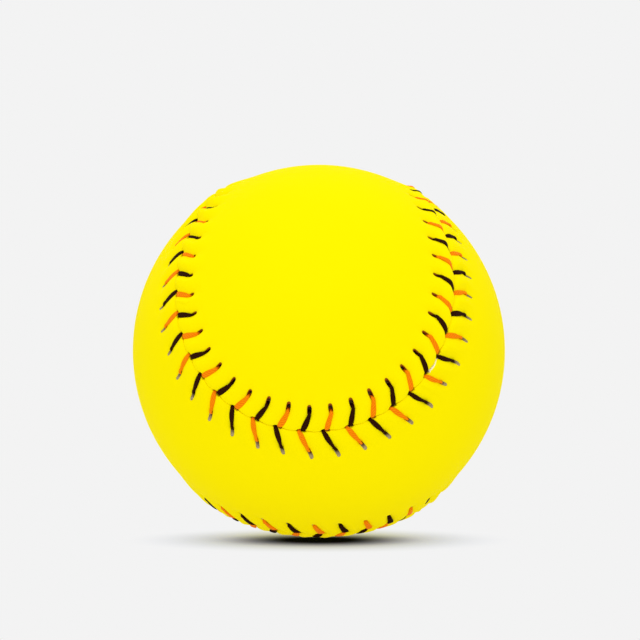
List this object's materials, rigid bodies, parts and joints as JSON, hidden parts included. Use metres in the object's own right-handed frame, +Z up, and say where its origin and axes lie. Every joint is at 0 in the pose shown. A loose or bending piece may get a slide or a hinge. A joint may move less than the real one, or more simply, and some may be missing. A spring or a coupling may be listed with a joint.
{
  "type": "softball",
  "caption": "Yellow softball with a solid core, two figure-eight cover panels and a raised seam sewn with black and orange thread.",
  "frame": {"origin": "middle of the ball", "axes": "+Z up; the side with the U of stitches faces -Y; +X to the right of that side"},
  "size_m": [0.097, 0.0969, 0.097],
  "materials": {
    "core_foam": "moulded polyurethane, fine open skin",
    "cement": "dried contact cement, dull",
    "cover": "smooth optic yellow composite, satin",
    "black_thread": "flat waxed thread",
    "orange_thread": "flat waxed thread"
  },
  "bodies": {
    "root": {"core": "core_foam", "cement_film": "cement", "front_panel": "cover", "side_panel": "cover", "black_thread": "black_thread", "orange_thread": "orange_thread"}
  },
  "joints": []
}
